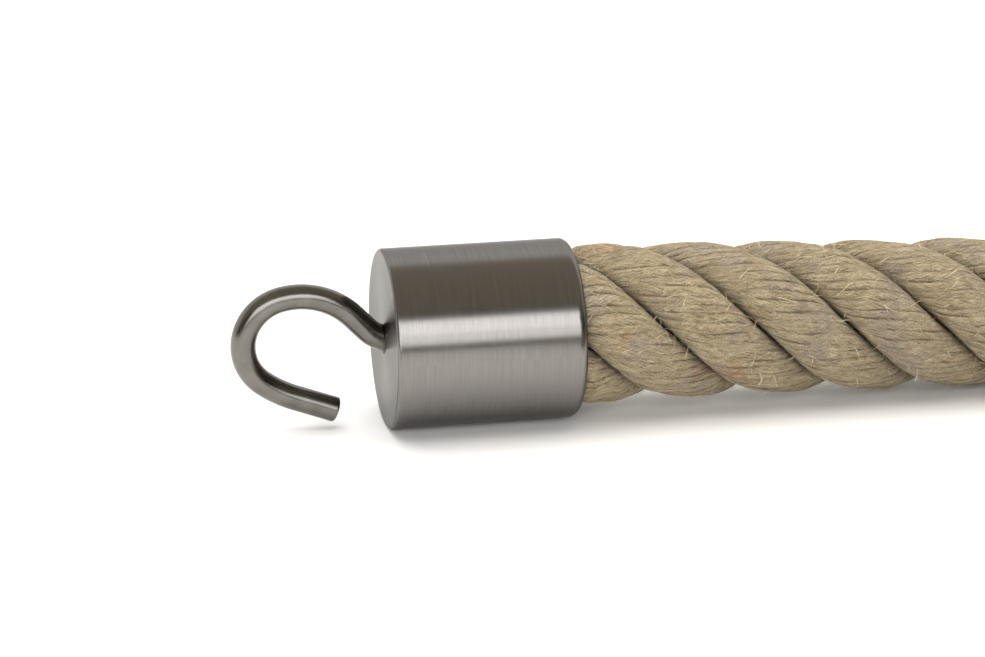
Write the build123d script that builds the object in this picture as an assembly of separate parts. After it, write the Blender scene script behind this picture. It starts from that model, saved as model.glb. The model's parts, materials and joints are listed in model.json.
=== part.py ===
from build123d import *
import os
from math import cos, radians, tan

# Barrier rope: a length of four-strand hemp rope with a turned stainless cap on each end, and in each
# cap's end plate a bent bar hook that swivels about the cap's axis.
# Frame: millimetres, +Z up, +X from hook A through its cap into the rope. The origin is the centre of
# hook A's bowl, on the swivel axis. The part lies on a floor at z = -cap_d / 2: both caps and the rope
# rest on it. End A is the near one, and end B lies inside the loop that the rope is put away in.

# Rope
rope_d = 36.0            # over the laid strands
heart_d = 6.0            # the core strand that the outer strands are laid round
wrap_wall = 0.4          # tape bound round each rope end, under the cap
wrap_length = 22.0
wrap_gap = 0.1           # all round, between the tape and the cap's bore

# End cap
cap_wall = 2.7
cap_length = 45.0
cap_plate = 5.0
face_edge_r = 0.8        # outer edge of the end face
mouth_r = 2.2            # outer edge of the mouth, rolled over towards the rope
mouth_lip_r = 0.4        # inner edge of the mouth

# Hook: round bar, bent leg by leg from the end plate
bar_d = 6.0
neck_sunk = 2.0          # the neck's bend starts this far inside the end plate
neck_r, neck_turn = 8.0, 46.0
rise_length = 5.05       # straight bar between neck and crown
crown_r, crown_turn = 18.0, 59.0
bowl_r, bowl_turn = 11.4, 130.0
heel_r, heel_turn = 30.0, 16.5
tip_length = 10.4
tip_edge_r = 0.6

# Swivel: the shank runs in the end plate, behind it a washer and a lock nut
swivel_gap = 0.4         # all round, between the shank and its hole: room for the neck's first bend
hole_edge = 0.4          # chamfer at the hole's outer end
end_play = 0.3
washer_gap, washer_rim, washer_t = 0.2, 2.8, 1.6
nut_wall, nut_hex_h = 2.0, 4.2   # from the thread to the flats
collar_wall, collar_h = 0.6, 1.8
insert_wall, insert_t = 0.8, 1.4
nut_corner_cut = 0.3
thread_past_nut = 2.0
shank_chamfer = 0.6
rope_end_gap = 2.1       # between the shank's end and the rope's end
straight_out = 46.0      # of rope from its end, before it starts to settle on the floor

# Grub screws: two in line on each cap's far side, biting into the rope
screw_d, screw_length = 5.0, 5.0
screw_sunk = 0.4         # below the cap's outside
screw_pitch = 11.0
screw_from_mouth = 9.0
socket_flats, socket_depth = 2.5, 2.2
screw_chamfer = 0.5

# Worked out from the sizes above
cap_bore = rope_d + 2 * (wrap_wall + wrap_gap)
cap_d = cap_bore + 2 * cap_wall
washer_hole_d = bar_d + 2 * washer_gap
washer_d = washer_hole_d + 2 * washer_rim
nut_flats = bar_d + 2 * nut_wall
insert_d = bar_d + 2 * insert_wall
collar_d = insert_d + 2 * collar_wall
nut_h = nut_hex_h + collar_h
washer_x = cap_plate + end_play
nut_x = washer_x + washer_t
shank_in = nut_x + nut_h + thread_past_nut
rope_end_x = shank_in + rope_end_gap
lie = (rope_d - cap_d) / 2   # the rope's centre where it rests on the floor, below the caps' axis


def hook_line():
    """The bar's centre line in the end's own frame: face centre at 0, +X into the cap, +Y up."""
    shank = Line((shank_in, 0), (neck_sunk, 0))
    neck = JernArc(shank @ 1, shank % 1, neck_r, -neck_turn)
    rise = Line(neck @ 1, neck @ 1 + (neck % 1) * rise_length)
    crown = JernArc(rise @ 1, rise % 1, crown_r, crown_turn)
    bowl = JernArc(crown @ 1, crown % 1, bowl_r, bowl_turn)
    heel = JernArc(bowl @ 1, bowl % 1, heel_r, heel_turn)
    tip = Line(heel @ 1, heel @ 1 + (heel % 1) * tip_length)
    return Wire([shank, neck, rise, crown, bowl, heel, tip]), bowl.arc_center


hook_path, bowl_centre = hook_line()
face_x = -bowl_centre.X


# The route of the rope's centre line: out of cap A, along the floor, once round, and into cap B.
route = [
    (face_x + rope_end_x, 0, 0),
    (face_x + rope_end_x + straight_out, 0, 0),
    (168, 0, lie),
    (262, -2, lie),
    (370, -2, lie),
    (466, -44, lie),
    (529, -130, lie),
    (543, -234, lie),
    (508, -334, lie),
    (428, -400, lie),
    (326, -417, lie),
    (228, -387, lie),
    (153, -314, lie),
    (129, -216, lie),
    (154, -119, lie),
    (226, -61, lie),
    (310, -51, 0),
    (356, -53, 0),
]


def disc(diameter, length, x):
    """A cylinder along +X that starts at x."""
    return Pos(x, 0, 0) * Rot(0, 90, 0) * Cylinder(
        diameter / 2, length, align=(Align.CENTER, Align.CENTER, Align.MIN)
    )


def radial(diameter, inner_r, length, x):
    """A cylinder along +Y that starts inner_r from the cap's axis."""
    return Pos(x, inner_r, 0) * Rot(-90, 0, 0) * Cylinder(
        diameter / 2, length, align=(Align.CENTER, Align.CENTER, Align.MIN)
    )


def screw_places():
    """Where the two grub screws stand along the cap."""
    first = cap_length - screw_from_mouth
    return [first, first - screw_pitch]


def turned_cap():
    """A cup turned from bar: end plate with the shank's hole, bore for the rope, tapped side holes."""
    bore_depth = cap_length - cap_plate
    body = disc(cap_d, cap_length, 0)
    body = fillet(body.edges().group_by(Axis.X)[0], face_edge_r)
    body = fillet(body.edges().group_by(Axis.X)[-1], mouth_r)
    body -= disc(cap_bore, bore_depth, cap_plate)
    lip = body.edges().filter_by(GeomType.CIRCLE).group_by(Axis.X)[-1].sort_by(SortBy.LENGTH)[0]
    body = fillet(lip, mouth_lip_r)
    hole_d = bar_d + 2 * swivel_gap
    body -= disc(hole_d, cap_plate, 0)
    body -= Rot(0, 90, 0) * Cone(
        hole_d / 2 + hole_edge, hole_d / 2, hole_edge, align=(Align.CENTER, Align.CENTER, Align.MIN)
    )
    for x in screw_places():
        body -= radial(screw_d, 0, cap_d, x)
    return body


def bent_hook():
    """Round bar swept along its bends, edges broken at both ends."""
    section = Plane(origin=hook_path @ 0, z_dir=hook_path % 0) * Circle(bar_d / 2)
    bar = sweep(section, path=hook_path)
    rims = bar.edges().filter_by(GeomType.CIRCLE)
    bar = fillet(rims.sort_by_distance(hook_path @ 1)[0], tip_edge_r)
    rims = bar.edges().filter_by(GeomType.CIRCLE)
    bar = chamfer(rims.sort_by_distance(hook_path @ 0)[0], shank_chamfer)
    return Plane.XZ * bar


def washer():
    return disc(washer_d, washer_t, washer_x) - disc(washer_hole_d, washer_t, washer_x)


def insert_x():
    return nut_x + nut_h - insert_t


def lock_nut():
    """A hexagon with its corners turned off, and a round collar that holds the nylon ring."""
    hexagon = Plane.YZ * RegularPolygon(nut_flats / 2, 6, major_radius=False)
    blank = Pos(nut_x, 0, 0) * extrude(hexagon, nut_hex_h)
    over_corners = nut_flats / cos(radians(30))
    turned = disc(over_corners, nut_hex_h, nut_x)
    turned = chamfer(turned.edges().filter_by(GeomType.CIRCLE), nut_corner_cut, 2 * nut_corner_cut)
    nut = (blank & turned) + disc(collar_d, nut_h, nut_x)
    nut -= disc(bar_d, nut_h, nut_x)
    return nut - disc(insert_d, insert_t, insert_x())


def nylon_ring():
    return disc(insert_d, insert_t, insert_x()) - disc(bar_d, insert_t, insert_x())


def grub_screw(x):
    """A headless screw: hexagon socket outside, broken edge at the point."""
    outer_r = cap_d / 2 - screw_sunk
    screw = radial(screw_d, outer_r - screw_length, screw_length, x)
    screw = chamfer(screw.edges().group_by(Axis.Y)[0], screw_chamfer)
    socket = Plane(origin=(x, outer_r, 0), z_dir=(0, -1, 0)) * RegularPolygon(
        socket_flats / 2, 6, major_radius=False
    )
    return screw - extrude(socket, socket_depth)


def screw_dents():
    """The room that the screws' points take in the tape and the rope."""
    tip_r = cap_d / 2 - screw_sunk - screw_length
    return [radial(screw_d, tip_r, screw_length, x) for x in screw_places()]


def tape_wrap():
    outer_d = rope_d + 2 * wrap_wall
    sleeve = disc(outer_d, wrap_length, rope_end_x) - disc(rope_d, wrap_length, rope_end_x)
    for dent in screw_dents():
        sleeve -= dent
    return sleeve


def corner_radii(points):
    """Each corner's arc takes 0.45 of its shorter run."""
    radii = []
    for before, corner, after in zip(points, points[1:], points[2:]):
        run_in = Vector(*corner) - Vector(*before)
        run_out = Vector(*after) - Vector(*corner)
        half_turn = radians(run_in.get_angle(run_out)) / 2
        radii.append(0.45 * min(run_in.length, run_out.length) / tan(half_turn))
    return radii


def tube(path, section):
    return sweep(Plane(origin=path @ 0, z_dir=path % 0) * section, path=path)


def end_pieces():
    """Everything at one end, in that end's own frame: face centre at 0, +X into the cap."""
    return {
        "cap": turned_cap(),
        "hook": bent_hook(),
        "washer": washer(),
        "lock_nut": lock_nut(),
        "nut_insert": nylon_ring(),
        "rope_wrap": tape_wrap(),
        "grub_screws": Compound([grub_screw(x) for x in screw_places()]),
    }


radii = corner_radii(route)
rope_path = FilletPolyline(*route, radius=radii)
rope_end_b = rope_path @ 1
out_of_b = rope_path % 1
ends = {
    "a": Location((face_x, 0, 0)),
    "b": Location(
        Plane(origin=rope_end_b + out_of_b * rope_end_x, x_dir=-out_of_b, z_dir=(0, 0, 1))
    ),
}

rope = tube(rope_path, Circle(rope_d / 2) - Circle(heart_d / 2))
for place in ends.values():
    for dent in screw_dents():
        rope -= place * dent

parts = {"rope": rope, "rope_heart": tube(rope_path, Circle(heart_d / 2))}
for piece, shape in end_pieces().items():
    for end, place in ends.items():
        parts[f"{piece}_{end}"] = place * shape

os.makedirs("parts", exist_ok=True)
for node, shape in parts.items():
    export_step(shape, f"parts/{node}.step")

print("face at x", round(face_x, 3), "bowl centre above axis", round(bowl_centre.Y, 3))
print("cord radii", [round(r) for r in radii], "smallest", round(min(radii)))
print("rope length", round(rope_path.length, 1), "ends at", rope_end_b, "heading", out_of_b)
section_area = (Circle(rope_d / 2) - Circle(heart_d / 2)).area
print("tube volume / section x length", round(rope.volume / (section_area * rope_path.length), 5))
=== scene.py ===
import json
import math
import bpy
import numpy as np
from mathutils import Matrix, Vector


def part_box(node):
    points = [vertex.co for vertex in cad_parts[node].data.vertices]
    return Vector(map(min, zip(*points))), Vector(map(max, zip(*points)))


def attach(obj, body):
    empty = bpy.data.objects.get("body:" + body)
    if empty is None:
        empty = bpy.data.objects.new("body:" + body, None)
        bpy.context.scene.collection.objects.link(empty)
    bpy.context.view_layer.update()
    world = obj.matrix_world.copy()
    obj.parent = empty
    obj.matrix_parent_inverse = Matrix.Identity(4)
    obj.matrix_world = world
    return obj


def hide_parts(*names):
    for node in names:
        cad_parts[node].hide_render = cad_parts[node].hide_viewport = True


# A barrier rope: four-strand hemp rope with a turned stainless cap and a swivelling bar hook on
# each end. End A lies in front with its rope running straight away from it, and end B lies inside
# the loop.
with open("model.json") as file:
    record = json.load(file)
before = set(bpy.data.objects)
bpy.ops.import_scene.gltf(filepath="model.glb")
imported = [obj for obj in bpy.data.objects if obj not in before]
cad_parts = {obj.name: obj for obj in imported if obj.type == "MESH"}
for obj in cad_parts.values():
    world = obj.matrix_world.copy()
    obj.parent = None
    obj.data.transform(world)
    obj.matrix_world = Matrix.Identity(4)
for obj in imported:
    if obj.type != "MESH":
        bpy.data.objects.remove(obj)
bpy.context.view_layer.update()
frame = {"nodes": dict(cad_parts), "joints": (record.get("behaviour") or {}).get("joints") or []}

# --- Rope: the line that the strands are laid along ---------------------------------------------
# The rope leaves cap A, settles on the floor within a hand's width, goes round in one open loop, as
# it is put away, and comes back into cap B. Its centre lies half a rope above the floor.
rope_diameter = 0.036
floor_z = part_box("cap_a")[0].z
lie = floor_z + rope_diameter / 2
rope_route = [
    (0.0387, 0, 0), (0.0847, 0, 0), (0.168, 0, lie), (0.262, -0.002, lie), (0.370, -0.002, lie),
    (0.466, -0.044, lie), (0.529, -0.130, lie), (0.543, -0.234, lie), (0.508, -0.334, lie),
    (0.428, -0.400, lie), (0.326, -0.417, lie), (0.228, -0.387, lie), (0.153, -0.314, lie),
    (0.129, -0.216, lie), (0.154, -0.119, lie), (0.226, -0.061, lie), (0.310, -0.051, 0),
    (0.356, -0.053, 0),
]


def smooth_line(name, points):
    """The points of one smooth spline whose control points are given, from its evaluated curve."""
    curve = bpy.data.curves.new(name, "CURVE")
    curve.dimensions = "3D"
    curve.resolution_u = 24
    spline = curve.splines.new("NURBS")
    spline.points.add(len(points) - 1)
    for point, place in zip(spline.points, points):
        point.co = (*place, 1)
    spline.order_u = 3
    spline.use_endpoint_u = True
    holder = bpy.data.objects.new(name, curve)
    bpy.context.scene.collection.objects.link(holder)
    evaluated = holder.evaluated_get(bpy.context.evaluated_depsgraph_get())
    line = bpy.data.meshes.new_from_object(evaluated)
    found = np.array([v.co for v in line.vertices])
    bpy.data.objects.remove(holder)
    return found


centre_line = smooth_line("rope_line", rope_route)
steps = np.linalg.norm(np.diff(centre_line, axis=0), axis=1)
centre_line = centre_line[np.r_[True, steps > 1e-6]]
line_at = np.r_[0, np.cumsum(np.linalg.norm(np.diff(centre_line, axis=0), axis=1))]
rope_length = line_at[-1]


def along(distance):
    """Places, sideways and upward directions at distances along the rope."""
    place = np.stack([np.interp(distance, line_at, centre_line[:, i]) for i in range(3)], 1)
    near = 0.004
    ahead = np.stack([np.interp(distance + near, line_at, centre_line[:, i]) for i in range(3)], 1)
    behind = np.stack([np.interp(distance - near, line_at, centre_line[:, i]) for i in range(3)], 1)
    forward = ahead - behind
    forward /= np.linalg.norm(forward, axis=1)[:, None]
    side = np.cross(forward, (0, 0, 1.0))
    side /= np.linalg.norm(side, axis=1)[:, None]
    return place, side, np.cross(side, forward)


# --- Rope: four strands ---------------------------------------------------------------------------
# Each strand is a bundle of soft hemp yarns, pressed against its neighbours so that its section is
# a rounded wedge. The strands turn right-handed, and their yarns turn back the other way, so that
# the yarns on the outside run nearly along the rope.
strand_count = 4
lay_length = 0.0885          # the rope's length in one turn of a strand
strand_centre = 0.0103       # from the rope's axis
strand_tall, strand_wide = 0.0077, 0.0100
strand_gap = 0.00016
heart_radius = 0.003
yarns = 26                   # round one strand
points_per_yarn = 5
yarn_crown = 0.00030         # how far a yarn stands out of the creases beside it
yarn_turn = -2 * math.pi * rope_diameter / 2 / (lay_length * strand_wide)
inside_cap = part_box("cap_a")[1].x - rope_route[0][0]
lay_start = math.radians(69.6)


def past_mouth(distance):
    """How far a place on the rope is outside the nearer cap's mouth, in metres."""
    return np.minimum(distance, rope_length - distance) - inside_cap


def rope_swell(distance):
    """How full the rope is: held in by each cap, spread just outside it, and even further on."""
    held, widest, settles_by, settles_over = 0.982, 1.052, 0.064, 0.072
    out = past_mouth(distance)
    spread = widest - settles_by * np.clip(out / settles_over, 0, 1) ** 0.8
    squeezed = held + (widest - held) * np.clip(out / 0.004 + 0.4, 0, 1)
    return np.where(out > 0.003, spread, squeezed)


def rope_rise(distance):
    """How far the rope stands above its line, high in each cap's mouth, until it has settled."""
    in_cap, lift, lift_over, settles_over = 0.0003, 0.0007, 0.006, 0.140
    out = past_mouth(distance)
    settled = np.clip(out / settles_over, 0, 1)
    return in_cap + lift * np.clip(out / lift_over, 0, 1) * (1 - settled) - in_cap * settled


def strand_mesh(index, seed):
    """One strand: rings of points whose columns follow the yarns, so creases stay sharp."""
    draw = np.random.default_rng(seed)
    fine_length, fine_step, first_coarse_step, coarse_rings = 0.14, 0.0011, 0.0018, 560
    fine = np.arange(0, fine_length, fine_step)
    coarse = np.linspace(fine[-1] + first_coarse_step, rope_length, coarse_rings)
    distance = np.r_[fine, coarse]
    columns = yarns * points_per_yarn
    place, side, up = along(distance)
    place[:, 2] += rope_rise(distance)

    uneven_width = 0.22
    yarn_width = 1 + uneven_width * draw.uniform(-1, 1, yarns)
    edges = np.r_[0, np.cumsum(yarn_width)] / yarn_width.sum()
    share = np.arange(points_per_yarn) / points_per_yarn
    column_at = (edges[:-1, None] + np.diff(edges)[:, None] * share).ravel()
    flat_top = 0.35                # below 1, a yarn's section is flatter than a half circle
    height = np.tile(np.sin(math.pi * share) ** flat_top, yarns)
    yarn_pride = np.repeat(draw.uniform(0.55, 1.25, yarns), points_per_yarn)

    # Creases wander from side to side and yarns stand more or less proud, in waves along the rope.
    wander = np.zeros((len(distance), yarns))
    proud = np.zeros((len(distance), yarns))
    wander_turns, proud_share = 0.0024, 0.33
    for wave in (0.014, 0.031, 0.058):
        phase = draw.uniform(0, 2 * math.pi, (2, yarns))
        turn = 2 * math.pi * distance[:, None] / (wave * draw.uniform(0.8, 1.25, yarns))
        wander += wander_turns * np.sin(turn + phase[0])
        proud += proud_share * np.sin(turn * 1.3 + phase[1])
    following = np.roll(wander, -1, axis=1)
    wander = (wander[:, :, None] * (1 - share) + following[:, :, None] * share)
    wander = wander.reshape(len(distance), columns)
    proud = np.repeat(proud, points_per_yarn, axis=1)

    around = 2 * math.pi * (column_at[None, :] + wander) + yarn_turn * distance[:, None]
    across = strand_wide * np.cos(around)
    outward = strand_centre + strand_tall * np.sin(around)
    lump_share, lump_length, lump_shift = 0.010, 0.031, 1.7
    lump_turn = 2 * math.pi * distance / lump_length + index * lump_shift
    lump = 1 + lump_share * np.sin(lump_turn)[:, None]
    lift = yarn_crown * (height * (yarn_pride + proud) - 0.8)
    across = across + lift * np.cos(around)
    outward = (outward + lift * np.sin(around)) * lump
    # Neighbouring strands flatten each other along the planes between them, with a rounded edge.
    outward = np.maximum(outward, heart_radius)
    limit = outward - strand_gap
    soft = 0.0009
    pressed = -soft * np.log(np.exp(-np.abs(across) / soft) + np.exp(-limit / soft))
    across = np.sign(across) * np.maximum(pressed, 0)

    angle = lay_start + 2 * math.pi * (index / strand_count - distance / lay_length)
    full = rope_swell(distance)
    radial = np.cos(angle)[:, None] * side + np.sin(angle)[:, None] * up
    tangent = -np.sin(angle)[:, None] * side + np.cos(angle)[:, None] * up
    points = (
        place[:, None, :]
        + (outward * full[:, None])[:, :, None] * radial[:, None, :]
        + (across * full[:, None])[:, :, None] * tangent[:, None, :]
    )
    # Painted shade: the colour darkens in the creases between yarns and the grooves between
    # strands.
    crease_shade = np.clip(1 - height, 0, 1) * np.clip(0.7 + 0.8 * proud, 0.15, 1.2)
    groove_radius, groove_depth, groove_shade_share = 0.0166, 0.0034, 0.78
    groove_shade = np.clip((groove_radius - np.hypot(outward, across)) / groove_depth, 0, 1)
    crease_shade = np.maximum(crease_shade, groove_shade_share * groove_shade)
    return points, column_at, distance, crease_shade


def skin(name, points, column_at, distance, crease_shade=None):
    """A closed tube through rings of points, with a UV map: turns across it, metres along it."""
    rings, columns = points.shape[:2]
    ring, column = np.meshgrid(np.arange(rings - 1), np.arange(columns), indexing="ij")
    beside = (column + 1) % columns
    quads = np.stack([
        ring * columns + column, ring * columns + beside,
        (ring + 1) * columns + beside, (ring + 1) * columns + column,
    ], -1).reshape(-1, 4)
    last = (rings - 1) * columns
    caps = [list(reversed(range(columns))), [last + c for c in range(columns)]]
    mesh = bpy.data.meshes.new(name)
    mesh.from_pydata(points.reshape(-1, 3).tolist(), [], quads.tolist() + caps)
    turn_of = np.r_[column_at, 1.0]
    left, right = turn_of[column], turn_of[column + 1]
    near, far = distance[ring], distance[ring + 1]
    uv = np.stack([
        np.stack([left, near], -1), np.stack([right, near], -1),
        np.stack([right, far], -1), np.stack([left, far], -1),
    ], 2).reshape(-1, 2)
    ends = np.zeros((2 * columns, 2))
    layer = mesh.uv_layers.new(name="yarns")
    layer.data.foreach_set("uv", np.r_[uv, ends].ravel().astype(np.float32))
    # Painted shade for the creases and grooves, kept on the points for the hemp material.
    if crease_shade is not None:
        depth = mesh.attributes.new("crease_shade", "FLOAT", "POINT")
        depth.data.foreach_set("value", crease_shade.ravel().astype(np.float32))
    mesh.polygons.foreach_set("use_smooth", [True] * (len(mesh.polygons) - 2) + [False] * 2)
    piece = bpy.data.objects.new(name, mesh)
    bpy.context.scene.collection.objects.link(piece)
    return piece


def linear(colour):
    """A material's sRGB hex colour as linear red, green, blue and alpha."""
    parts = [int(colour[i:i + 2], 16) / 255 for i in (1, 3, 5)]
    return [c / 12.92 if c <= 0.04045 else ((c + 0.055) / 1.055) ** 2.4 for c in parts] + [1]


def add(tree, kind, inputs=None, **settings):
    """A node with its settings, its input values, and its links where an input is a socket."""
    node = tree.nodes.new(kind)
    for name, value in settings.items():
        setattr(node, name, value)
    for name, value in (inputs or {}).items():
        if isinstance(value, bpy.types.NodeSocket):
            tree.links.new(value, node.inputs[name])
        else:
            node.inputs[name].default_value = value
    return node


def ramp(tree, factor, *stops):
    """A colour ramp through (place, hex colour) stops."""
    node = add(tree, "ShaderNodeValToRGB", {"Fac": factor})
    band = node.color_ramp
    while len(band.elements) < len(stops):
        band.elements.new(0.5)
    for element, (at, colour) in zip(band.elements, stops):
        element.position = at
        element.color = linear(colour)
    return node.outputs["Color"]


def new_material(name):
    material = bpy.data.materials.new(name)
    material.use_nodes = True
    return material, material.node_tree, material.node_tree.nodes["Principled BSDF"]


# Undyed hemp, spun and laid: straw and grey-brown fibres, dull, with lilac-grey patches, rusty
# stains and pale bits of straw. Painted shade darkens the creases between yarns and grooves between
# strands.
def hemp():
    material, tree, shader = new_material("spun_hemp")
    uv = add(tree, "ShaderNodeUVMap", uv_map="yarns").outputs["UV"]
    place = add(tree, "ShaderNodeTexCoord").outputs["Object"]
    round_strand_mm = 54.0
    fibre_at = add(tree, "ShaderNodeMapping", {
        "Vector": uv, "Scale": (round_strand_mm, 1000.0, 1),
    }).outputs["Vector"]

    def strokes(angle, width, length, detail, offset):
        """Noise drawn out into strokes, some degrees off the yarns' direction; sizes in mm."""
        turned = add(tree, "ShaderNodeMapping", {
            "Vector": fibre_at, "Location": offset,
            "Rotation": (0, 0, math.radians(angle)), "Scale": (width, length, 1),
        }, vector_type="TEXTURE")
        inputs = {"Vector": turned.outputs["Vector"], "Scale": 1.0, "Detail": detail}
        return add(tree, "ShaderNodeTexNoise", inputs).outputs["Fac"]

    def clouds(scale, offset, detail=3.0):
        moved = add(tree, "ShaderNodeMapping", {"Vector": place, "Location": offset})
        inputs = {"Vector": moved.outputs["Vector"], "Scale": scale, "Detail": detail}
        return add(tree, "ShaderNodeTexNoise", inputs).outputs["Fac"]

    fibres = strokes(0, 0.38, 4.5, 4.0, (0, 0, 0))
    streaks = strokes(4, 1.3, 14.0, 3.0, (7, 3, 0))
    pale_strokes = strokes(22, 0.26, 3.4, 3.0, (19, 5, 0))
    dark_strokes = strokes(-16, 0.28, 3.4, 3.0, (31, 11, 0))
    bits = strokes(38, 0.5, 2.6, 2.0, (43, 12, 0))
    grit = clouds(2600.0, (1, 5, 2), 2.0)
    patches = clouds(95.0, (3, 1, 2))
    stains = clouds(62.0, (9, 4, 7), 4.0)

    fibre_colour = ramp(
        tree, fibres, (0.27, "#6B5A3E"), (0.42, "#9A8969"), (0.56, "#B3A282"), (0.74, "#D2C4A2")
    )
    streak_colour = ramp(tree, streaks, (0.34, "#918166"), (0.50, "#AB9B7D"), (0.68, "#C2B292"))
    base = add(tree, "ShaderNodeMix", data_type="RGBA", blend_type="MIX")
    base.inputs["Factor"].default_value = 0.40
    tree.links.new(fibre_colour, base.inputs[6])
    tree.links.new(streak_colour, base.inputs[7])

    def tint(colour_in, mask, low, high, colour, strength):
        level = add(tree, "ShaderNodeMapRange", {
            "Value": mask, "From Min": low, "From Max": high, "To Min": 0.0, "To Max": strength,
        })
        mix = add(tree, "ShaderNodeMix", data_type="RGBA", blend_type="MIX")
        tree.links.new(level.outputs["Result"], mix.inputs["Factor"])
        tree.links.new(colour_in, mix.inputs[6])
        mix.inputs[7].default_value = linear(colour)
        return mix.outputs[2]

    coloured = tint(base.outputs[2], patches, 0.52, 0.66, "#9A8E84", 0.55)
    coloured = tint(coloured, stains, 0.61, 0.70, "#A47048", 0.60)
    coloured = tint(coloured, dark_strokes, 0.46, 0.30, "#574630", 0.75)
    coloured = tint(coloured, pale_strokes, 0.54, 0.70, "#D2C5A6", 0.70)
    coloured = tint(coloured, grit, 0.50, 0.30, "#65553C", 0.60)
    coloured = tint(coloured, bits, 0.70, 0.78, "#E0D2AE", 0.80)
    # Painted shade: the crease attribute darkens the colour in the creases and grooves, broken up
    # by the dark strokes.
    crease_shade = add(tree, "ShaderNodeAttribute", attribute_name="crease_shade").outputs["Fac"]
    broken_crease_shade = add(tree, "ShaderNodeMath", {0: crease_shade, 1: dark_strokes}, operation="SUBTRACT")
    coloured = tint(coloured, broken_crease_shade.outputs[0], -0.25, 0.55, "#453722", 0.70)
    tree.links.new(coloured, shader.inputs["Base Color"])
    shader.inputs["Roughness"].default_value = 0.92
    shader.inputs["Specular IOR Level"].default_value = 0.22
    shader.inputs["Sheen Weight"].default_value = 0.12
    shader.inputs["Sheen Roughness"].default_value = 0.5

    relief = add(tree, "ShaderNodeMath", {0: fibres, 1: pale_strokes}, operation="ADD")
    relief = add(tree, "ShaderNodeMath", {0: relief.outputs[0], 1: dark_strokes}, operation="ADD")
    bump = add(tree, "ShaderNodeBump", {
        "Height": relief.outputs[0], "Strength": 1.0, "Distance": 0.0008,
    })
    tree.links.new(bump.outputs["Normal"], shader.inputs["Normal"])
    return material


hemp_finish = hemp()
strands, shapes = [], []
for index in range(strand_count):
    shapes.append(strand_mesh(index, 40 + index))
    strand = skin(f"strand_{index + 1}", *shapes[-1])
    strand.data.materials.append(hemp_finish)
    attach(strand, "rope_and_caps")
    strands.append(strand)
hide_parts("rope")

# --- Rope: heart strand ---------------------------------------------------------------------------
# A thin strand in the middle that keeps the four outer ones from falling in. It doesn't show.
shown_radius, heart_rings, heart_columns = 0.0028, 500, 14
heart_steps = np.linspace(0, rope_length, heart_rings)
heart_place, heart_side, heart_up = along(heart_steps)
heart_turn = np.linspace(0, 2 * math.pi, heart_columns, endpoint=False)
heart_points = (
    heart_place[:, None, :]
    + shown_radius * np.cos(heart_turn)[None, :, None] * heart_side[:, None, :]
    - shown_radius * np.sin(heart_turn)[None, :, None] * heart_up[:, None, :]
)
heart = skin("heart_strand", heart_points, heart_turn / (2 * math.pi), heart_steps)
heart.data.materials.append(hemp_finish)
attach(heart, "rope_and_caps")
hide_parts("rope_heart")

# --- Rope: stray fibres ---------------------------------------------------------------------------
# Short ends of fibre, 1 to 5 mm long, that have worked loose from the yarns. They lie across the
# yarns at every angle, lifted a tenth of their length at most, and only between the caps.


def fibre_blade():
    """One loose fibre, a narrow tapered strip with a bend in it, of unit length before scaling."""
    bends = [(0, 0, 0), (0.24, 0.02, 0.05), (0.5, 0.03, 0.10), (0.76, 0.0, 0.10), (1, -0.06, 0.05)]
    half = [0.018, 0.020, 0.018, 0.014, 0.004]
    points = [(x, y + s * w, z) for (x, y, z), w in zip(bends, half) for s in (-1, 1)]
    faces = [(2 * i, 2 * i + 1, 2 * i + 3, 2 * i + 2) for i in range(len(bends) - 1)]
    mesh = bpy.data.meshes.new("fibre_blade")
    mesh.from_pydata(points, [], faces)
    blade = bpy.data.objects.new("fibre_blade", mesh)
    bpy.context.scene.collection.objects.link(blade)
    return blade


# Loose hemp fibre: from brown to pale straw, and a little glossier than the yarn it came from.
def loose_hemp():
    material, tree, shader = new_material("loose_hemp_fibre")
    place = add(tree, "ShaderNodeTexCoord").outputs["Object"]
    shade = add(tree, "ShaderNodeTexNoise", {"Vector": place, "Scale": 400.0, "Detail": 1.0})
    colour = ramp(tree, shade.outputs["Fac"], (0.3, "#7F6D4F"), (0.5, "#B4A583"), (0.7, "#DACDAC"))
    tree.links.new(colour, shader.inputs["Base Color"])
    shader.inputs["Roughness"].default_value = 0.7
    shader.inputs["Specular IOR Level"].default_value = 0.3
    return material


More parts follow.
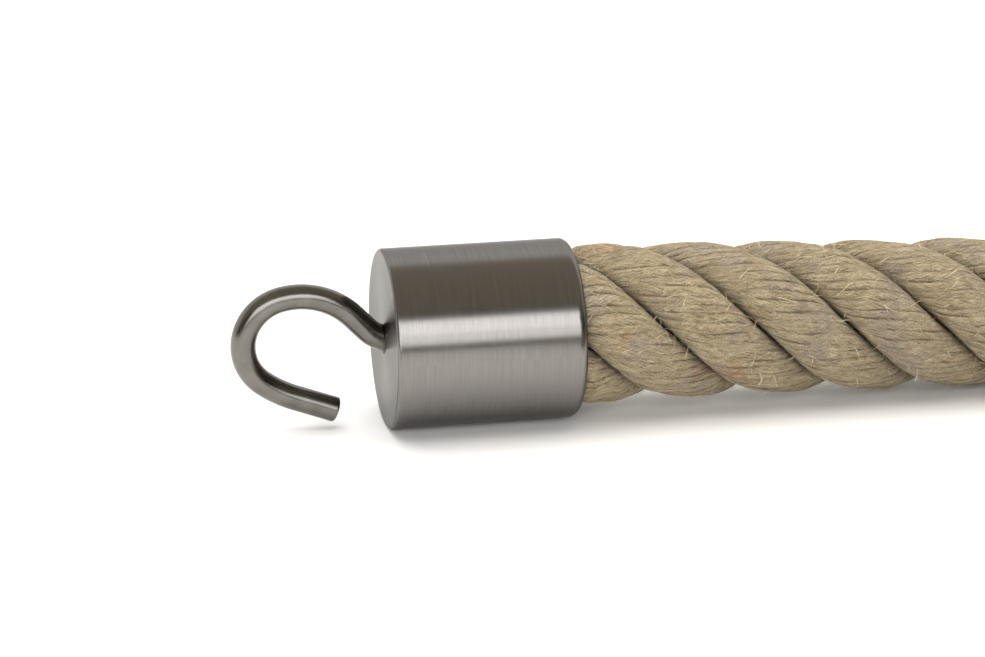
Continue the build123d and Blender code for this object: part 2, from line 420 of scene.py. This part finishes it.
def fibre_tree(blade, finish):
    """Scatters blades over a strand, turned at random and laid near the surface."""
    tree = bpy.data.node_groups.new("stray_fibres", "GeometryNodeTree")
    face = tree.interface
    face.new_socket("Geometry", in_out="INPUT", socket_type="NodeSocketGeometry")
    face.new_socket("Fibres per square metre", in_out="INPUT", socket_type="NodeSocketFloat")
    face.new_socket("Shortest", in_out="INPUT", socket_type="NodeSocketFloat")
    face.new_socket("Longest", in_out="INPUT", socket_type="NodeSocketFloat")
    face.new_socket("Seed", in_out="INPUT", socket_type="NodeSocketInt")
    face.new_socket("Geometry", in_out="OUTPUT", socket_type="NodeSocketGeometry")
    given = tree.nodes.new("NodeGroupInput").outputs
    scatter = add(tree, "GeometryNodeDistributePointsOnFaces", {
        "Mesh": given["Geometry"], "Density": given["Fibres per square metre"],
        "Seed": given["Seed"],
    })
    turn = add(tree, "FunctionNodeRandomValue", {
        "Min": 0.0, "Max": 2 * math.pi, "Seed": 3,
    }, data_type="FLOAT")
    turn_value = add(tree, "ShaderNodeCombineXYZ", {"Z": turn.outputs[1]})
    spin = add(tree, "FunctionNodeRotateEuler", {
        "Rotation": scatter.outputs["Rotation"], "Rotate By": turn_value.outputs["Vector"],
    }, space="LOCAL")
    size = add(tree, "FunctionNodeRandomValue", data_type="FLOAT")
    tree.links.new(given["Shortest"], size.inputs[2])
    tree.links.new(given["Longest"], size.inputs[3])
    size.inputs["Seed"].default_value = 8
    one = add(tree, "GeometryNodeObjectInfo", {"Object": blade})
    copies = add(tree, "GeometryNodeInstanceOnPoints", {
        "Points": scatter.outputs["Points"], "Instance": one.outputs["Geometry"],
        "Rotation": spin.outputs[0], "Scale": size.outputs[1],
    })
    real = add(tree, "GeometryNodeRealizeInstances", {"Geometry": copies.outputs["Instances"]})
    painted = add(tree, "GeometryNodeSetMaterial", {
        "Geometry": real.outputs["Geometry"], "Material": finish,
    })
    result = tree.nodes.new("NodeGroupOutput")
    tree.links.new(painted.outputs["Geometry"], result.inputs["Geometry"])
    return tree


def grow(name, source, tree, values):
    """A piece with a plain mesh, from a node tree run on a copy of the source's mesh."""
    base = bpy.data.objects.new(name + "_base", source.data.copy())
    bpy.context.scene.collection.objects.link(base)
    modifier = base.modifiers.new("grow", "NODES")
    modifier.node_group = tree
    for socket in tree.interface.items_tree:
        if socket.in_out == "INPUT" and socket.name in values:
            modifier[socket.identifier] = values[socket.name]
    evaluated = base.evaluated_get(bpy.context.evaluated_depsgraph_get())
    mesh = bpy.data.meshes.new_from_object(evaluated)
    bpy.data.objects.remove(base)
    piece = bpy.data.objects.new(name, mesh)
    bpy.context.scene.collection.objects.link(piece)
    return piece


blade = fibre_blade()
blades = fibre_tree(blade, loose_hemp())
for index, (points, column_at, distance, _) in enumerate(shapes):
    bare = (distance > inside_cap) & (distance < rope_length - inside_cap)
    open_strand = skin("open_strand", points[bare], column_at, distance[bare])
    tuft = grow(f"stray_fibres_{index + 1}", open_strand, blades, {
        "Fibres per square metre": 100000.0, "Shortest": 0.0012, "Longest": 0.0048,
        "Seed": 21 + index,
    })
    bpy.data.objects.remove(open_strand)
    for vertex in tuft.data.vertices:
        vertex.co.z = max(vertex.co.z, floor_z)
    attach(tuft, "rope_and_caps")
bpy.data.objects.remove(blade)

# --- End caps -------------------------------------------------------------------------------------
# Each cap is a cup turned from stainless bar and brushed while it spins, so its fine scratches run
# round it and its face shows rings.


# Brushed stainless steel: grey with a warm cast, long soft highlights across the brushing.
def brushed_stainless(name, centre, turn):
    material, tree, shader = new_material(name)
    place = add(tree, "ShaderNodeTexCoord").outputs["Object"]
    moved = add(tree, "ShaderNodeMapping", {
        "Vector": place, "Location": centre, "Rotation": (0, 0, turn),
    }, vector_type="TEXTURE")
    axes = add(tree, "ShaderNodeSeparateXYZ", {"Vector": moved.outputs["Vector"]}).outputs
    angle = add(tree, "ShaderNodeMath", {0: axes["Z"], 1: axes["Y"]}, operation="ARCTAN2")
    y_square = add(tree, "ShaderNodeMath", {0: axes["Y"], 1: axes["Y"]}, operation="MULTIPLY")
    z_square = add(tree, "ShaderNodeMath", {
        0: axes["Z"], 1: axes["Z"], 2: y_square.outputs[0],
    }, operation="MULTIPLY_ADD")
    radius = add(tree, "ShaderNodeMath", {0: z_square.outputs[0]}, operation="SQRT")
    depth = add(tree, "ShaderNodeMath", {0: axes["X"], 1: radius.outputs[0]}, operation="ADD")
    slow_angle = add(tree, "ShaderNodeMath", {
        0: angle.outputs[0], 1: 0.0003,
    }, operation="MULTIPLY")
    ring = add(tree, "ShaderNodeCombineXYZ", {
        "X": depth.outputs[0], "Y": slow_angle.outputs[0], "Z": 0.0,
    })
    # Scratches of 120 grit lie about 0.1 mm apart; they are drawn 0.2 mm apart so that they show.
    fine = add(tree, "ShaderNodeTexNoise", {
        "Vector": ring.outputs["Vector"], "Scale": 4800.0, "Detail": 2.0,
    })
    broad = add(tree, "ShaderNodeTexNoise", {
        "Vector": ring.outputs["Vector"], "Scale": 520.0, "Detail": 2.0,
    })
    colour = ramp(tree, fine.outputs["Fac"], (0.3, "#787572"), (0.5, "#7E7B78"), (0.7, "#84817E"))
    tree.links.new(colour, shader.inputs["Base Color"])
    rough = add(tree, "ShaderNodeMapRange", {
        "Value": broad.outputs["Fac"], "From Min": 0.3, "From Max": 0.7,
        "To Min": 0.24, "To Max": 0.27,
    })
    tree.links.new(rough.outputs["Result"], shader.inputs["Roughness"])
    shader.inputs["Metallic"].default_value = 1.0
    shader.inputs["Anisotropic"].default_value = 0.6
    shader.inputs["Specular Tint"].default_value = linear("#C8C8C8")
    shader.inputs["Anisotropic Rotation"].default_value = 0.25
    round_axis = add(tree, "ShaderNodeTangent", direction_type="RADIAL", axis="X")
    tree.links.new(round_axis.outputs["Tangent"], shader.inputs["Tangent"])
    bump = add(tree, "ShaderNodeBump", {
        "Height": fine.outputs["Fac"], "Strength": 0.12, "Distance": 0.00003,
    })
    tree.links.new(bump.outputs["Normal"], shader.inputs["Normal"])
    return material


joints = {joint["name"]: joint for joint in frame["joints"]}
for end in "ab":
    swivel = joints[f"hook_{end}_swivel"]
    turn = math.atan2(swivel["axis"][1], swivel["axis"][0])
    finish = brushed_stainless(f"brushed_stainless_{end}", swivel["pos_m"], turn)
    cap = frame["nodes"][f"cap_{end}"]
    cap.data.materials.clear()
    cap.data.materials.append(finish)

# --- Hooks ----------------------------------------------------------------------------------------
# Round stainless bar, drawn and then bent cold and tumbled, so it is smoother than the cap and its
# faint marks have no direction.


def drawn_stainless():
    material, tree, shader = new_material("drawn_stainless")
    place = add(tree, "ShaderNodeTexCoord").outputs["Object"]
    cloud = add(tree, "ShaderNodeTexNoise", {"Vector": place, "Scale": 260.0, "Detail": 4.0})
    grain = add(tree, "ShaderNodeTexNoise", {"Vector": place, "Scale": 2600.0, "Detail": 2.0})
    colour = ramp(tree, cloud.outputs["Fac"], (0.3, "#6A6762"), (0.7, "#7B7772"))
    tree.links.new(colour, shader.inputs["Base Color"])
    rough = add(tree, "ShaderNodeMapRange", {
        "Value": cloud.outputs["Fac"], "From Min": 0.3, "From Max": 0.7,
        "To Min": 0.19, "To Max": 0.27,
    })
    tree.links.new(rough.outputs["Result"], shader.inputs["Roughness"])
    shader.inputs["Metallic"].default_value = 1.0
    bump = add(tree, "ShaderNodeBump", {
        "Height": grain.outputs["Fac"], "Strength": 0.12, "Distance": 0.00005,
    })
    tree.links.new(bump.outputs["Normal"], shader.inputs["Normal"])
    return material


bar_finish = drawn_stainless()
for end in "ab":
    hook = frame["nodes"][f"hook_{end}"]
    hook.data.materials.clear()
    hook.data.materials.append(bar_finish)

# --- Swivel hardware and grub screws --------------------------------------------------------------
# Zinc-plated steel washers, lock nuts and grub screws, with a nylon ring in each nut.


def zinc_plate():
    material, tree, shader = new_material("zinc_plated_steel")
    place = add(tree, "ShaderNodeTexCoord").outputs["Object"]
    mottle = add(tree, "ShaderNodeTexNoise", {"Vector": place, "Scale": 900.0, "Detail": 3.0})
    colour = ramp(tree, mottle.outputs["Fac"], (0.3, "#9DA0A2"), (0.7, "#BCBEBE"))
    tree.links.new(colour, shader.inputs["Base Color"])
    shader.inputs["Metallic"].default_value = 1.0
    shader.inputs["Roughness"].default_value = 0.38
    return material


def nylon():
    material, tree, shader = new_material("moulded_nylon")
    place = add(tree, "ShaderNodeTexCoord").outputs["Object"]
    mottle = add(tree, "ShaderNodeTexNoise", {"Vector": place, "Scale": 700.0, "Detail": 2.0})
    colour = ramp(tree, mottle.outputs["Fac"], (0.3, "#D3D2C8"), (0.7, "#E2E1D8"))
    tree.links.new(colour, shader.inputs["Base Color"])
    shader.inputs["Roughness"].default_value = 0.5
    return material


# Friction tape: black woven cotton with a rubber coat, matt.
def friction_tape():
    material, tree, shader = new_material("friction_tape")
    place = add(tree, "ShaderNodeTexCoord").outputs["Object"]
    weave = add(tree, "ShaderNodeTexWave", {"Vector": place, "Scale": 300.0, "Distortion": 1.5})
    colour = ramp(tree, weave.outputs["Fac"], (0.2, "#151413"), (0.8, "#2A2826"))
    tree.links.new(colour, shader.inputs["Base Color"])
    shader.inputs["Roughness"].default_value = 0.85
    return material


small_finishes = {
    "washer": zinc_plate(), "lock_nut": None, "grub_screws": None,
    "nut_insert": nylon(), "rope_wrap": friction_tape(),
}
for piece, finish in small_finishes.items():
    for end in "ab":
        node = frame["nodes"][f"{piece}_{end}"]
        node.data.materials.clear()
        node.data.materials.append(finish or small_finishes["washer"])

# --- Floor, light and camera ----------------------------------------------------------------------
# A pale floor, soft light from a wide window in front with one pane above the other, and light from
# above that brightens the rope and the floor but isn't mirrored in the metal.
floor_mesh = bpy.data.meshes.new("floor")
reach = 6.0
corners = [(-reach, -reach), (reach, -reach), (reach, reach), (-reach, reach)]
floor_mesh.from_pydata([(x, y, floor_z) for x, y in corners], [], [(0, 1, 2, 3)])
floor = bpy.data.objects.new("floor", floor_mesh)
bpy.context.scene.collection.objects.link(floor)
floor_finish, floor_tree, floor_shader = new_material("pale_floor")
floor_shader.inputs["Base Color"].default_value = linear("#F4F4F3")
floor_shader.inputs["Roughness"].default_value = 0.9
floor_mesh.materials.append(floor_finish)


def panel(name, place, aim, width, height, power):
    """A soft white rectangular light that faces a point."""
    light = bpy.data.lights.new(name, "AREA")
    light.shape = "RECTANGLE"
    light.size = width
    light.size_y = height
    light.energy = power
    lamp = bpy.data.objects.new(name, light)
    bpy.context.scene.collection.objects.link(lamp)
    lamp.location = place
    lamp.rotation_euler = (Vector(aim) - Vector(place)).to_track_quat("-Z", "Y").to_euler()
    return lamp


subject = Vector((0.07, 0, 0))
panel("front_window", (-0.4, -2.6, 1.50), (-0.4, 0, 1.50), 3.6, 1.15, 53)
panel("window_sill", (-0.4, -2.6, 0.62), (-0.4, 0, 0.62), 3.6, 0.56, 20)
ceiling = panel("ceiling_bounce", (0.1, 0.1, 2.2), subject, 3.2, 3.2, 88)
ceiling.visible_glossy = False

# The room round the metal: a dark wall in front, a dim warm ceiling and a light wall behind.
world = bpy.data.worlds.new("studio")
bpy.context.scene.world = world
world.use_nodes = True
room = world.node_tree
direction = add(room, "ShaderNodeTexCoord").outputs["Generated"]
way = add(room, "ShaderNodeSeparateXYZ", {"Vector": direction}).outputs
forward_y = add(room, "ShaderNodeMath", {0: way["Y"], 1: -1.0}, operation="MULTIPLY")
height_angle = add(room, "ShaderNodeMath", {
    0: way["Z"], 1: forward_y.outputs[0],
}, operation="ARCTAN2")
share_of_half = add(room, "ShaderNodeMath", {
    0: height_angle.outputs[0], 1: math.pi,
}, operation="DIVIDE")
walls = ramp(
    room, share_of_half.outputs[0], (0.0, "#262524"), (0.22, "#363534"), (0.30, "#968E7F"),
    (0.655, "#A69E8F"), (0.71, "#F2F1EF"), (1.0, "#F2F1EF"),
)
room.links.new(walls, room.nodes["Background"].inputs["Color"])
room.nodes["Background"].inputs["Strength"].default_value = 1.3

camera_data = bpy.data.cameras.new("camera")
camera = bpy.data.objects.new("camera", camera_data)
bpy.context.scene.collection.objects.link(camera)
camera_distance, camera_rise, camera_swing = 1.0, math.radians(18.8), math.radians(11.1)
target = Vector((0.0478, 0, 0.0008))
offset = Vector((
    -math.sin(camera_swing) * math.cos(camera_rise),
    -math.cos(camera_swing) * math.cos(camera_rise),
    math.sin(camera_rise),
))
camera.location = target + offset * camera_distance
camera.rotation_euler = (-offset).to_track_quat("-Z", "Y").to_euler()
camera_data.sensor_width = 36.0
camera_data.lens = 155.3
camera_data.clip_start = 0.01
bpy.context.scene.camera = camera
bpy.context.scene.view_settings.view_transform = "Standard"
